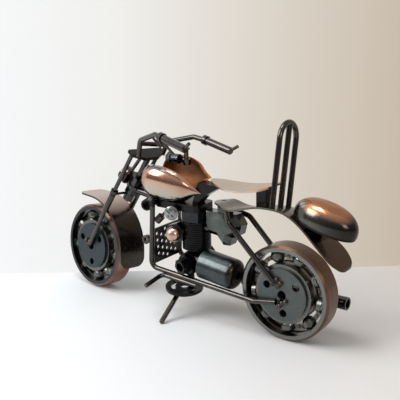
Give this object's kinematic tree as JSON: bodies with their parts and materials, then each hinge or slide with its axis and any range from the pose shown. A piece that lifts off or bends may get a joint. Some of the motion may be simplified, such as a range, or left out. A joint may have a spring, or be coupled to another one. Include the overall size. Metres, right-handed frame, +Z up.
{
  "type": "toy motorcycle ornament",
  "caption": "Welded scrap-metal motorcycle ornament with bearing wheels that roll, a raked fork that steers, a leaf-shaped tank, finned engine, hoop backrest and oval tail box.",
  "frame": {"origin": "on the ground, straight below the rear axle, on the centre plane", "axes": "+X towards the front wheel, +Y to the rider's left, +Z up"},
  "size_m": [0.1816, 0.0469, 0.1038],
  "materials": {
    "blue_steel": "gloss lacquer over blued steel",
    "bright_steel": "bare bright steel",
    "bronze_sheet": "dark olive-bronze lacquer",
    "copper_nut": "copper-plated",
    "copper_sheet": "copper-toned lacquer",
    "dark_rod": "satin, clear-lacquered dark gunmetal",
    "disc_grey": "matte blue-grey",
    "pale_copper": "pale tan copper lacquer",
    "ring_steel": "darkened bearing steel",
    "tread_copper": "copper-brown lacquer on ground steel",
    "weld": "lacquered weld metal"
  },
  "bodies": {
    "frame": {"air_cleaner": "blue_steel", "backrest": "dark_rod", "copper_dome_nut": "copper_nut", "crank_stack": "blue_steel", "crankcase": "blue_steel", "cylinder_head_nut": "blue_steel", "dome_nut_seat": "blue_steel", "engine_cylinder": "blue_steel", "engine_hanger": "dark_rod", "exhaust": "dark_rod", "filler_post": "dark_rod", "foot_pegs": "dark_rod", "frame_weld_beads": "weld", "gauge": "bright_steel", "head_screw": "bright_steel", "horn_cup": "dark_rod", "left_lower_rail": "dark_rod", "motor_can": "blue_steel", "radiator_plate": "blue_steel", "rear_discs": "disc_grey", "rear_fender": "bronze_sheet", "rear_inner_ring": "ring_steel", "right_lower_rail": "dark_rod", "ring_nut": "dark_rod", "ring_plate": "blue_steel", "seat_pan": "pale_copper", "seat_stays": "dark_rod", "seat_supports": "dark_rod", "side_stand": "dark_rod", "spark_bolt": "dark_rod", "steering_head": "dark_rod", "tail_base": "bronze_sheet", "tail_dome": "bronze_sheet", "tank_left_lobe": "copper_sheet", "tank_right_lobe": "copper_sheet"},
    "fork": {"steering_stem": "dark_rod", "crown_plate": "dark_rod", "fork_legs": "dark_rod", "fork_sleeves": "dark_rod", "fork_brace": "dark_rod", "headlight_shell": "dark_rod", "left_handlebar": "dark_rod", "right_handlebar": "dark_rod", "handlebar_grips": "dark_rod", "grip_collars": "dark_rod", "levers": "dark_rod", "handlebar_cross_bar": "dark_rod", "front_fender": "bronze_sheet", "fork_weld_beads": "weld", "front_inner_ring": "ring_steel", "front_discs": "disc_grey"},
    "rear_wheel": {"rear_tread_ring": "tread_copper"},
    "rear_cage": {"rear_balls": "bright_steel", "rear_ball_cage": "ring_steel"},
    "front_wheel": {"front_tread_ring": "tread_copper"},
    "front_cage": {"front_balls": "bright_steel", "front_ball_cage": "ring_steel"}
  },
  "joints": [
    {"name": "steering", "type": "hinge", "parent": "frame", "child": "fork", "pos_m": [0.12176, 0, 0.02228], "axis": [-0.549, 0, 0.8358], "range_deg": [-12, 26]},
    {"name": "rear_wheel_spin", "type": "hinge", "parent": "frame", "child": "rear_wheel", "pos_m": [0, 0, 0.0235], "axis": [0, 1, 0], "continuous": true},
    {"name": "rear_cage_spin", "type": "hinge", "parent": "frame", "child": "rear_cage", "pos_m": [0, 0, 0.0235], "axis": [0, 1, 0], "continuous": true},
    {"name": "front_wheel_spin", "type": "hinge", "parent": "fork", "child": "front_wheel", "pos_m": [0.12406, -0.0005, 0.02379], "axis": [0.148, 0.9842, 0.0972], "continuous": true},
    {"name": "front_cage_spin", "type": "hinge", "parent": "fork", "child": "front_cage", "pos_m": [0.12406, -0.0005, 0.02379], "axis": [0.148, 0.9842, 0.0972], "continuous": true}
  ],
  "couplings": [
    {"joint": "rear_cage_spin", "follows": "rear_wheel_spin", "ratio": 0.59632},
    {"joint": "front_cage_spin", "follows": "front_wheel_spin", "ratio": 0.59632}
  ]
}
